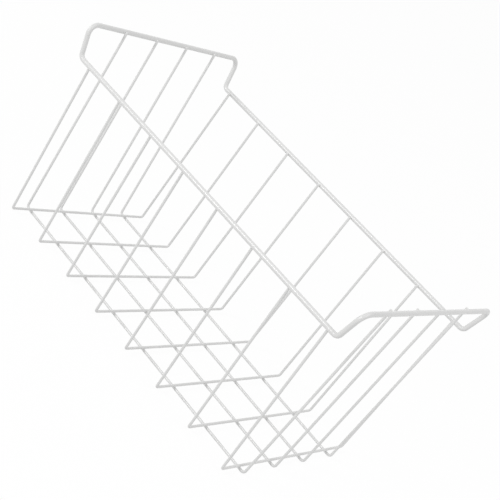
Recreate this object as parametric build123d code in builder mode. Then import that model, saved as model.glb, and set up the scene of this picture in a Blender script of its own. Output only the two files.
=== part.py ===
from build123d import *
import math
import os

os.makedirs("parts", exist_ok=True)

# Freezer basket of coated steel wire, in millimetres.
# X runs along the basket, Y across it, and Z is up from the surface that it stands on.
# Lengths and widths are taken between wire centres, and diameters include the coating.

# Wires
rim_wire = 6.0  # diameter of the rim and hanger wire
thin_wire = 3.2  # diameter of the cross wires and the lengthwise wires
side_bend = 7.0  # centreline radius of the rim's bends from the long sides up into the hangers
bar_bend = 12.0  # centreline radius of the rim's bends from the hangers into their bars

# Rim and hangers
rim_length = 470.0  # between the corners where the sides turn up
rim_width = 277.5  # between the two long sides
hanger_rise = 40.0  # hanger bar above the long sides
hanger_outset = 10.0  # hanger bar beyond the corners of the long sides
hanger_flare = 4.0  # corners of the hanger bar further out than the long sides

# Cross wires
cross_count = 8
basket_depth = 212.0  # from the floor of the cross wires up to the rim
floor_width = 243.0  # between the corners at the foot of the long walls
corner_clear = 7.9  # straight rim between its bend and the first cross wire
wall_taper = 3.4  # the first cross wire stands this much further in at the floor than at the rim
cross_tip = 1.0  # tips of the cross wires above the centre of the rim

# Lengthwise wires
length_count = 4
floor_margin = 33.6  # outer lengthwise wire in from the foot of the long wall
bar_margin = 57.0  # outer lengthwise wire in from the corner of the hanger bar
turn_up_clear = 7.5  # from the side of the last cross wire to the turn-up
length_tip = 1.8  # tips of the lengthwise wires above the centre of the hanger bar

# Heights of the wire centres: the lengthwise wires lie on the ground, with the cross wires welded on top
length_z = thin_wire / 2
cross_z = length_z + thin_wire
rim_z = cross_z + basket_depth
bar_z = rim_z + hanger_rise

# Places of the rim and its hanger bars, and how far from a bar's centre a wire welded to it lies
rim_x = rim_length / 2
rim_y = rim_width / 2
bar_x = rim_x + hanger_outset
bar_y = rim_y + hanger_flare
floor_y = floor_width / 2
weld_reach = rim_wire / 2 + thin_wire / 2
rim_turn = math.acos(hanger_outset / math.hypot(hanger_outset, hanger_flare, hanger_rise))
rim_tangent = side_bend * math.tan(rim_turn / 2)

# Ends of the row of cross wires at the rim and at the floor, and the corner past the last one
row_top_x = rim_x - rim_tangent - corner_clear - thin_wire / 2
row_floor_x = row_top_x - wall_taper
turn_up_x = row_floor_x + thin_wire / 2 + turn_up_clear

# Outer lengthwise wires at the floor and at the hanger bars
row_floor_y = floor_y - floor_margin
row_bar_y = bar_y - bar_margin


def spread(half_row, count):
    """Evenly spaced places from one end of a row to the other."""
    return [half_row * (2 * i / (count - 1) - 1) for i in range(count)]


def wall_lean(outset, height):
    """Slope of a wall wire from its foot to a bar, so that it lies against the inner side of that bar."""
    return math.atan2(outset, height) - math.asin(weld_reach / math.hypot(outset, height))


# Rim: both long sides and both raised hanger bars, one closed wire
with BuildPart() as rim:
    with BuildLine() as rim_path:
        FilletPolyline(
            (-rim_x, -rim_y, rim_z),
            (rim_x, -rim_y, rim_z),
            (bar_x, -bar_y, bar_z),
            (bar_x, bar_y, bar_z),
            (rim_x, rim_y, rim_z),
            (-rim_x, rim_y, rim_z),
            (-bar_x, bar_y, bar_z),
            (-bar_x, -bar_y, bar_z),
            radius=[side_bend, side_bend, bar_bend, bar_bend, side_bend, side_bend, bar_bend, bar_bend],
            close=True,
        )
    with BuildSketch(Plane(origin=rim_path.line @ 0, z_dir=rim_path.line % 0)):
        Circle(rim_wire / 2)
    sweep()
rim.part.label = "rim"
export_step(rim.part, "parts/rim.step")

# Cross wires: down one wall, over the floor and up the other wall, fanned out a little towards the rim
cross_slope = math.tan(wall_lean(rim_y - floor_y, basket_depth))
cross_tip_z = rim_z + cross_tip
cross_tip_y = floor_y + (cross_tip_z - cross_z) * cross_slope
cross_floor_row = spread(row_floor_x, cross_count)
cross_top_row = spread(row_top_x, cross_count)

for i in range(cross_count):
    floor_x = cross_floor_row[i]
    top_x = cross_top_row[i]
    tip_x = floor_x + (top_x - floor_x) * (cross_tip_z - cross_z) / basket_depth
    with BuildPart() as cross_wire:
        with BuildLine() as cross_path:
            Polyline(
                (tip_x, -cross_tip_y, cross_tip_z),
                (floor_x, -floor_y, cross_z),
                (floor_x, floor_y, cross_z),
                (tip_x, cross_tip_y, cross_tip_z),
            )
        with BuildSketch(Plane(origin=cross_path.line @ 0, z_dir=cross_path.line % 0)):
            Circle(thin_wire / 2)
        sweep(transition=Transition.ROUND)
    cross_wire.part.label = f"cross_wire_{i + 1}"
    export_step(cross_wire.part, f"parts/cross_wire_{i + 1}.step")

# Lengthwise wires: up one end, under the cross wires and up the other end, against the hanger bars
length_slope = math.tan(wall_lean(bar_x - turn_up_x, bar_z - length_z))
length_tip_z = bar_z + length_tip
length_tip_x = turn_up_x + (length_tip_z - length_z) * length_slope
length_floor_row = spread(row_floor_y, length_count)
length_bar_row = spread(row_bar_y, length_count)

for i in range(length_count):
    floor_place = length_floor_row[i]
    bar_place = length_bar_row[i]
    tip_y = floor_place + (bar_place - floor_place) * (length_tip_z - length_z) / (bar_z - length_z)
    with BuildPart() as length_wire:
        with BuildLine() as length_path:
            Polyline(
                (-length_tip_x, tip_y, length_tip_z),
                (-turn_up_x, floor_place, length_z),
                (turn_up_x, floor_place, length_z),
                (length_tip_x, tip_y, length_tip_z),
            )
        with BuildSketch(Plane(origin=length_path.line @ 0, z_dir=length_path.line % 0)):
            Circle(thin_wire / 2)
        sweep(transition=Transition.ROUND)
    length_wire.part.label = f"length_wire_{i + 1}"
    export_step(length_wire.part, f"parts/length_wire_{i + 1}.step")
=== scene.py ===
# %% [markdown]
# A freezer basket is steel wire, bent cold, welded at every crossing and then coated with white plastic.
# The imported model holds its sizes: a thick rim that rises into two hanger bars, eight cross wires and
# four lengthwise wires. This lesson gives it the coated look, and photographs it on a plain white studio
# floor.
#
# The model is loaded first and is never moved. All sizes are in metres.

# %% Load the imported basket
import math

import bmesh
import bpy
from mathutils import Matrix, Vector
from mathutils.geometry import intersect_line_line


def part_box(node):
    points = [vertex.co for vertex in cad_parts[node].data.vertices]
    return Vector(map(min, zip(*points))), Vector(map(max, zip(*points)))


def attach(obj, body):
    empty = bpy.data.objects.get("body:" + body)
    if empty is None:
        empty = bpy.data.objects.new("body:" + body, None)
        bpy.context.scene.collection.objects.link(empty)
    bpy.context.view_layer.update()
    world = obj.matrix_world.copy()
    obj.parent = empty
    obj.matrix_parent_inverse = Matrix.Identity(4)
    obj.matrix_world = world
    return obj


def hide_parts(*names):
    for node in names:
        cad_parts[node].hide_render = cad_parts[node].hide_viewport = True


mm_per_metre = 1000

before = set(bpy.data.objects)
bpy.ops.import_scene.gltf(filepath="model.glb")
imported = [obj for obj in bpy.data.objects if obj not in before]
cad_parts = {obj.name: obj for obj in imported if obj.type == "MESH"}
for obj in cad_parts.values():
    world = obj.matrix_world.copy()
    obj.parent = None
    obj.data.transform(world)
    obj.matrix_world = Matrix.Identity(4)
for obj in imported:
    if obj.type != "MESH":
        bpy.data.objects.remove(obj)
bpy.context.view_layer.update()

# %% [markdown]
# Each thin wire is bent like a long staple: tip, foot, foot, tip. Those four points could be typed in
# again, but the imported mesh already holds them, and a measured place can't fall out of step with the
# model. A straight stretch of wire has rings of corners only at its two ends, so the middle of a ring is
# a point on the centre line. The mesh is loose triangles, so each corner is there several times and is
# counted once.

# %% Corner points of a node
place_digits = 7  # decimals of a metre


def corners_of(node):
    """Each corner point of a node's mesh once, with its place to a ten-thousandth of a millimetre."""
    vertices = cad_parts[node].data.vertices
    places = {tuple(round(c, place_digits) for c in v.co) for v in vertices}
    return [Vector(p) for p in sorted(places)]


def middle(points):
    """The middle of a ring of corner points."""
    return sum(points, Vector()) / len(points)


rim_points = corners_of("rim")
print("corners of the rim", len(rim_points))

# %% Centre lines of the thin wires
thin_radius = 0.0016  # of the coated wire
closeness = 1e-6  # corners of one ring differ by less than this
tip_ring_depth = thin_radius / 2  # a tip's ring lies within this of the wire's top
foot_ring_height = 2.1 * thin_radius  # and a foot's ring within this of its underside


def staple_line(node):
    """Tip, foot, foot and tip on the centre line of one thin wire."""
    points = corners_of(node)
    low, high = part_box(node)
    along = 0 if high.x - low.x > high.y - low.y else 1
    foot_place = max(p[along] for p in points if p.z < low.z + closeness)
    line = []
    for side in (-1, 1):
        mine = [p for p in points if p[along] * side > 0]
        tip = middle([p for p in mine if p.z > high.z - tip_ring_depth])
        at_foot = [p for p in mine if abs(abs(p[along]) - foot_place) < closeness]
        foot = middle([p for p in at_foot if p.z < low.z + foot_ring_height])
        foot.z = low.z + thin_radius
        line += [tip, foot] if side < 0 else [foot, tip]
    return line


cross_names = sorted(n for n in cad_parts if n.startswith("cross_wire"))
length_names = sorted(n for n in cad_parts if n.startswith("length_wire"))
cross_lines = {n: staple_line(n) for n in cross_names}
length_lines = {n: staple_line(n) for n in length_names}
for name, line in {**cross_lines, **length_lines}.items():
    print(name, [[round(mm_per_metre * c, 2) for c in p] for p in line])

# %% [markdown]
# The rim carries the thin wires on four straight runs: two long sides and two hanger bars. Where each
# run meets its bend there is a ring of corners too, so these centre lines are measured in the same way.
# The welds stand on them later.

# %% Centre lines of the rim's straight runs
def rim_run(across, side):
    """Two points on the centre line of a long side (across is 1, for Y) or a hanger bar (0, for X)."""
    along = 1 - across
    mine = [p for p in rim_points if p[across] * side > 0]
    end = min(abs(p[along]) for p in mine)
    ring_middle = middle([p for p in mine if abs(p[along] - end) < closeness])
    other = ring_middle.copy()
    other[along] = -ring_middle[along]
    return ring_middle, other


long_sides = {side: rim_run(1, side) for side in (-1, 1)}
hanger_bars = {side: rim_run(0, side) for side in (-1, 1)}
print("long side", long_sides[-1], "hanger bar", hanger_bars[1])

# %% [markdown]
# A finish is a web of nodes, and its maths could be wired up node by node. It reads best as plain sums,
# so one small class wraps a socket and adds a Math node for each operator. Every other node comes from
# one method, which takes the node's type, its settings and what goes into its sockets.

# %% A socket that can be added and multiplied
class Value:
    """An output socket of a finish, for use in Python sums."""

    def __init__(self, finish, socket):
        self.finish = finish
        self.socket = socket

    def combine(self, operation, first, second):
        return self.finish.node("ShaderNodeMath", {"operation": operation}, {0: first, 1: second})

    def __add__(self, other):
        return self.combine("ADD", self, other)

    def __sub__(self, other):
        return self.combine("SUBTRACT", self, other)

    def __rsub__(self, other):
        return self.combine("SUBTRACT", other, self)

    def __mul__(self, other):
        return self.combine("MULTIPLY", self, other)

    def or_larger(self, other):
        return self.combine("MAXIMUM", self, other)

    __radd__ = __add__
    __rmul__ = __mul__


print("sockets that take part in sums:", Value.__name__)

# %% A node tree that is filled by calls
class Finish:
    """The node tree of a material or a world, emptied and then filled by calls of one method."""

    def __init__(self, owner):
        owner.use_nodes = True
        self.tree = owner.node_tree
        self.tree.nodes.clear()

    def node(self, kind, settings=None, inputs=None, output=0):
        made = self.tree.nodes.new(kind)
        for key, value in (settings or {}).items():
            setattr(made, key, value)
        for key, value in (inputs or {}).items():
            if isinstance(value, Value):
                self.tree.links.new(value.socket, made.inputs[key])
            else:
                made.inputs[key].default_value = value
        return Value(self, made.outputs[output]) if made.outputs else made


print("node trees that are filled by calls:", Finish.__name__)

# %% [markdown]
# The coating is white polyethylene that melted onto hot wire. It is a soft white with a wet-looking
# gloss. Its skin is faintly wavy, so a highlight wavers along the wire, and where it flowed a little
# thicker it is a touch whiter and smoother. A flat colour would miss all of this. So a slow noise drives
# colour and roughness, and a noise about as coarse as the rim is thick drives a shallow bump.

# %% The coated finish
coat_thick = (0.83, 0.83, 0.825, 1.0)
coat_thin = (0.775, 0.775, 0.77, 1.0)
roughness_thin = 0.3
roughness_drop = 0.14  # smoother by this where the coating is thickest
coat_ior = 1.5
coat_specular = 0.65
flow_noise = {"Scale": 38.0, "Detail": 3.0}
wave_noise = {"Scale": 150.0, "Detail": 2.0}
wave_bump = {"Strength": 1.0, "Distance": 0.0004}


def coated_wire_finish():
    """Gloss white coating, whiter and smoother where it is thick, with a faintly wavy skin."""
    made = bpy.data.materials.new("white_coated_wire")
    finish = Finish(made)
    place = finish.node("ShaderNodeTexCoord", output="Object")
    flow = finish.node("ShaderNodeTexNoise", {}, {"Vector": place, **flow_noise})
    wave = finish.node("ShaderNodeTexNoise", {}, {"Vector": place, **wave_noise})
    bump = finish.node("ShaderNodeBump", {}, {"Height": wave, **wave_bump})
    # A mix of colours has its factor in socket 0 and the two colours in 6 and 7, and gives the result at 2.
    colour = finish.node(
        "ShaderNodeMix", {"data_type": "RGBA"}, {0: flow, 6: coat_thin, 7: coat_thick}, output=2
    )
    shader = finish.node("ShaderNodeBsdfPrincipled", {}, {
        "Base Color": colour,
        "Roughness": roughness_thin - roughness_drop * flow,
        "Normal": bump,
        "IOR": coat_ior,
        "Specular IOR Level": coat_specular,
    })
    finish.node("ShaderNodeOutputMaterial", {}, {"Surface": shader})
    return made


coated_wire = coated_wire_finish()
print("finish", coated_wire.name, "nodes", len(coated_wire.node_tree.nodes))

# %% [markdown]
# A wire is bent on a peg: fed straight, turned, and fed straight again. The same two moves make its
# mesh. A ring is extruded along each run and spun about the peg at each foot. A curve with a bevel would
# be shorter to write, but it would smooth the bends over, and these have a true radius. The coating
# rounds off the cut ends, so the last rings shrink.

# %% Feed, bend and round off a ring
bend_steps = 12
dome_height = 0.0008  # of the coating's rounded tip
dome_rings = 4


def once(items):
    """Each item once, in the order in which it first comes."""
    return list(dict.fromkeys(items))


def edges_in(geometry):
    return [g for g in geometry if isinstance(g, bmesh.types.BMEdge)]


def corners_in(ring):
    return once(v for e in ring for v in e.verts)


def feed(bm, ring, step):
    """Extrudes the ring by a step and gives the new ring."""
    ring = edges_in(bmesh.ops.extrude_edge_only(bm, edges=ring)["geom"])
    bmesh.ops.translate(bm, verts=corners_in(ring), vec=step)
    return ring


def bend(bm, ring, peg_middle, axis, turn):
    """Spins the ring about a peg and gives the new ring."""
    made = bmesh.ops.spin(bm, geom=ring, cent=peg_middle, axis=axis, angle=turn, steps=bend_steps)
    return edges_in(made["geom_last"])


def dome(bm, ring, centre, heading):
    """Closes a ring with a rounded tip that reaches dome_height along the heading."""
    step = math.radians(90) / (dome_rings + 1)
    for i in range(dome_rings):
        before = step * i
        now = step * (i + 1)
        ring = feed(bm, ring, heading * dome_height * (math.sin(now) - math.sin(before)))
        ring_middle = centre + heading * dome_height * math.sin(now)
        shrink = Vector((1, 1, 1)) * math.cos(now) / math.cos(before)
        bmesh.ops.scale(bm, vec=shrink, space=Matrix.Translation(-ring_middle), verts=corners_in(ring))
    bmesh.ops.edgeloop_fill(bm, edges=ring)


print("a bend in steps of", bend_steps, "and tips rounded over", mm_per_metre * dome_height, "mm")

# %% Turn a bmesh into a piece of the basket
index_room = 100000  # more than any piece has corners


def by_corners(face):
    """A number that puts faces in the order of their first and last corners."""
    indices = [v.index for v in face.verts]
    return min(indices) * index_room + max(indices)


def finish_piece(name, bm):
    """A smooth coated piece that rides with the basket."""
    bmesh.ops.recalc_face_normals(bm, faces=bm.faces)
    for face in bm.faces:
        face.smooth = True
    # The operators list new faces in an order that changes from run to run, so they are sorted.
    bm.verts.index_update()
    bm.faces.sort(key=by_corners)
    mesh = bpy.data.meshes.new(name)
    bm.to_mesh(mesh)
    bm.free()
    mesh.materials.append(coated_wire)
    piece = bpy.data.objects.new(name, mesh)
    bpy.context.scene.collection.objects.link(piece)
    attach(piece, "root")
    return piece


print("pieces take the finish", coated_wire.name)

# %% Bend a whole wire
ring_sides = 32


def bent_wire(name, line, peg):
    """A round wire along tip, foot, foot and tip, bent at both feet on a peg of that centre-line radius."""
    headings = [(b - a).normalized() for a, b in zip(line, line[1:])]
    start = line[0] + headings[0] * dome_height
    end = line[-1] - headings[-1] * dome_height
    facing = headings[0].to_track_quat("Z", "X").to_matrix().to_4x4()
    bm = bmesh.new()
    circle = bmesh.ops.create_circle(
        bm, segments=ring_sides, radius=thin_radius, matrix=Matrix.Translation(start) @ facing
    )
    ring = once(e for v in circle["verts"] for e in v.link_edges)
    dome(bm, ring, start, -headings[0])
    here = start
    for corner, before, after in zip(line[1:-1], headings, headings[1:]):
        turn = before.angle(after)
        tangent = peg * math.tan(turn / 2)
        bend_start = corner - before * tangent
        inward = (after - before * math.cos(turn)).normalized()
        ring = feed(bm, ring, bend_start - here)
        ring = bend(bm, ring, bend_start + inward * peg, before.cross(after).normalized(), turn)
        here = corner + after * tangent
    ring = feed(bm, ring, end - here)
    dome(bm, ring, end, headings[-1])
    return finish_piece(name, bm)


print("sides round a thin wire", ring_sides)

# %% [markdown]
# The cross wires turn up sharply at the foot of the long walls. The lengthwise wires turn up on a wider
# peg, which shows as a row of little loops at each end of the floor. Each bent wire stands for the plain
# one of the model, which has the same runs with bare corners.

# %% Cross wires and lengthwise wires
cross_peg = 0.003
length_peg = 0.0045

for lines, peg in ((cross_lines, cross_peg), (length_lines, length_peg)):
    for name, line in lines.items():
        piece = bent_wire("coated_" + name, line, peg)
        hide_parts(name)
    print(len(lines), "wires up to", name, "on a peg of", mm_per_metre * peg, "mm")

# %% [markdown]
# The rim is one thick wire, bent up at the four corners and across at both ends. It could be bent again
# like the thin wires, but its own mesh already has those bends at their true radius. So it stays, and
# only takes the finish.

# %% Dress the rim
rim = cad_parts["rim"]
rim.data.materials.clear()
rim.data.materials.append(coated_wire)
print("rim takes", rim.data.materials[0].name)

# %% [markdown]
# Where two wires cross, a welder presses them together and the touching skins melt into one. The coating
# then runs into the narrow corner that is left. What shows is a small saddle, drawn in at its waist and
# out along both wires. A sphere at each crossing would look like a bead stuck on. So each weld starts as
# a short cylinder, and a formula draws every ring of it to the surfaces of the two wires.

# %% What a weld starts from
weld_sides = 20
weld_cuts = 5


def falls_away(radius, off):
    """How far a wire's surface has curved away from its top line at a distance from that line."""
    return radius - math.sqrt(max(radius ** 2 - off ** 2, 0.0))


def upright_column(bm):
    """A cylinder of radius 1 from -1 to 1, cut into rings, as the corners that it adds to the mesh."""
    first = len(bm.verts)
    made = bmesh.ops.create_cone(bm, cap_ends=True, segments=weld_sides, radius1=1, radius2=1, depth=2)
    edges = once(e for v in made["verts"] for e in v.link_edges)
    uprights = [e for e in edges if e.verts[0].co.z * e.verts[1].co.z < 0]
    bmesh.ops.subdivide_edges(bm, edges=uprights, cuts=weld_cuts, use_grid_fill=True)
    bm.verts.ensure_lookup_table()
    return bm.verts[first:]


print("rings in a weld", weld_cuts + 2)

# %% Shape one weld
weld_bridge = 0.0007  # widest gap between the wires that the melt fills
weld_flare = 0.44  # it spreads by this share where it meets a wire
weld_bite = 0.00025  # and reaches this deep into both wires


def weld(bm, wire, wire_radius, bar, bar_radius, ends=False):
    """A saddle of melt between a wire and the bar it touches. At a wire's end it slopes past the tip."""
    on_wire, on_bar = intersect_line_line(*wire, *bar)
    rise = (on_bar - on_wire).normalized()
    along = (wire[1] - wire[0]).normalized()
    place = Matrix((along, rise.cross(along), rise)).transposed().to_4x4()
    place.translation = on_wire + rise * wire_radius
    half_length = math.sqrt(2 * bar_radius * weld_bridge)
    half_width = math.sqrt(2 * wire_radius * weld_bridge)
    low_room = high_room = 1.0
    if ends:
        past = (wire[1] - on_wire).length
        reach = half_length * (1 + weld_flare)
        low_room = min(1.0, (past - dome_height) / reach)
        high_room = min(1.0, (past + dome_height) / reach)
    for corner in upright_column(bm):
        x, y, t = corner.co
        share = (t + 1) / 2
        room = low_room + (high_room - low_room) * share if x > 0 else 1.0
        drawn = 1 + weld_flare * t * t * (y * y if t > 0 else x * x)
        u = half_length * x * drawn * room
        v = half_width * y * drawn
        low = -falls_away(wire_radius, v) - weld_bite
        high = falls_away(bar_radius, u) + weld_bite
        corner.co = place @ Vector((u, v, low + (high - low) * share))


print("melt bridges gaps up to", mm_per_metre * weld_bridge, "mm")

# %% Weld the floor, the rim and the hanger bars
rim_radius = 0.003

bm = bmesh.new()
for lengthwise in length_lines.values():
    for cross in cross_lines.values():
        weld(bm, lengthwise[1:3], thin_radius, cross[1:3], thin_radius)
floor_welds = finish_piece("floor_welds", bm)

bm = bmesh.new()
for cross in cross_lines.values():
    weld(bm, cross[1::-1], thin_radius, long_sides[-1], rim_radius, ends=True)
    weld(bm, cross[2:], thin_radius, long_sides[1], rim_radius, ends=True)
side_welds = finish_piece("side_welds", bm)

bm = bmesh.new()
for lengthwise in length_lines.values():
    weld(bm, lengthwise[1::-1], thin_radius, hanger_bars[-1], rim_radius, ends=True)
    weld(bm, lengthwise[2:], thin_radius, hanger_bars[1], rim_radius, ends=True)
bar_welds = finish_piece("bar_welds", bm)

for piece in (floor_welds, side_welds, bar_welds):
    print(piece.name, "corners", len(piece.data.vertices))

# %% [markdown]
# The photograph looks down on the basket from its front right, with the camera rolled over, so that the
# basket seems to stand on one corner. The roll belongs to the camera: the basket itself stays flat on
# the floor. A long lens from further off keeps its sides nearly parallel.

# %% Camera
view_distance = 1.5385
view_aim = Vector((0.0122, 0.0122, 0.1419))
view_azimuth = math.radians(29.15)
view_elevation = math.radians(21.72)
view_roll = math.radians(36.03)
lens_mm = 93.28
sensor_mm = 36.0

toward_camera = Vector((
    math.sin(view_azimuth) * math.cos(view_elevation),
    -math.cos(view_azimuth) * math.cos(view_elevation),
    math.sin(view_elevation),
))
camera = bpy.data.objects.new("camera", bpy.data.cameras.new("camera"))
camera.data.sensor_width = sensor_mm
camera.data.lens = lens_mm
level = (-toward_camera).to_track_quat("-Z", "Y").to_matrix()
rolled = Matrix.Rotation(view_roll, 3, toward_camera) @ level
camera.matrix_world = Matrix.Translation(view_aim + toward_camera * view_distance) @ rolled.to_4x4()
scene = bpy.context.scene
scene.collection.objects.link(camera)
scene.camera = camera
print("camera at", camera.location)

# %% [markdown]
# A white floor that is lit white would flood the wires with light from below. So the paper shows white
# only to rays that come from the lens, from a reflection or through glass, and lights the basket as
# plain paper. A small share of that plain paper is mixed in, which keeps the soft shadow where the wires
# meet the floor.

# %% What the lens sees directly
def seen_directly(finish):
    """1 for rays straight from the lens, from a reflection or through glass, and 0 for the rest."""
    from_lens = finish.node("ShaderNodeLightPath", output="Is Camera Ray")
    path_outputs = from_lens.socket.node.outputs
    reflected = Value(finish, path_outputs["Is Glossy Ray"])
    through_glass = Value(finish, path_outputs["Is Transmission Ray"])
    return from_lens.or_larger(reflected).or_larger(through_glass)


scene.view_settings.view_transform = "Standard"
print("view transform", scene.view_settings.view_transform)

# %% White paper on the studio floor
floor_size = 40.0
paper_tone = (0.82, 0.82, 0.82, 1.0)
pure_white = (1.0, 1.0, 1.0, 1.0)
white_share = 0.9  # the rest is plain paper with its shadow
white_strength = 1.03

paper = bpy.data.materials.new("white_paper")
finish = Finish(paper)
lit = finish.node("ShaderNodeBsdfDiffuse", {}, {"Color": paper_tone})
white = finish.node("ShaderNodeEmission", {}, {"Color": pure_white, "Strength": white_strength})
mixed = finish.node("ShaderNodeMixShader", {}, {0: seen_directly(finish) * white_share, 1: lit, 2: white})
finish.node("ShaderNodeOutputMaterial", {}, {"Surface": mixed})

bm = bmesh.new()
bmesh.ops.create_grid(bm, x_segments=1, y_segments=1, size=floor_size / 2)
floor_mesh = bpy.data.meshes.new("studio_floor")
bm.to_mesh(floor_mesh)
bm.free()
floor_mesh.materials.append(paper)
studio_floor = bpy.data.objects.new("studio_floor", floor_mesh)
scene.collection.objects.link(studio_floor)
print("floor of", floor_size, "m in", paper.name)

# %% [markdown]
# The wires are pale grey on white, with a thin bright line along the long sides. Even light from all
# round makes the grey, and it comes from the world. To the lens the sky is a touch under white, as the
# far paper is, so that no horizon shows.

# %% Even light from the world
ambient = 0.58  # light that reaches the wires
sky_white = 0.975  # what the lens sees

world = bpy.data.worlds.new("white_studio")
scene.world = world
finish = Finish(world)
strength = ambient + (sky_white - ambient) * seen_directly(finish)
glow = finish.node("ShaderNodeBackground", {}, {"Color": pure_white, "Strength": strength})
finish.node("ShaderNodeOutputWorld", {}, {"Surface": glow})
print("ambient", ambient, "sky to the lens", sky_white)

# %% [markdown]
# A round wire shows a lamp only where its side is tilted halfway between the lamp and the lens. One big
# lamp would put a line on every wire or on none. So there are two softboxes: the front one stands where
# it draws the bright line along the long sides, and the high one where it lightens the tops of the
# hanger bars. They stand far off, so that both ends of the basket get about the same light.

# %% Two softboxes
lamp_distance = 4.5


def softbox(name, direction, size, power):
    """A round area lamp that faces the basket from a direction, with its power in watts."""
    lamp = bpy.data.lights.new(name, "AREA")
    lamp.shape = "DISK"
    lamp.size = size
    lamp.energy = power
    made = bpy.data.objects.new(name, lamp)
    toward_lamp = Vector(direction).normalized()
    facing = (-toward_lamp).to_track_quat("-Z", "Y").to_matrix().to_4x4()
    made.matrix_world = Matrix.Translation(view_aim + toward_lamp * lamp_distance) @ facing
    scene.collection.objects.link(made)
    print(name, "at", made.location, "watts", power)


softbox("front_softbox", direction=(-0.452, -0.812, 0.45), size=1.64, power=56.0)
softbox("top_softbox", direction=(0.6, -0.1, 0.8), size=3.27, power=38.0)
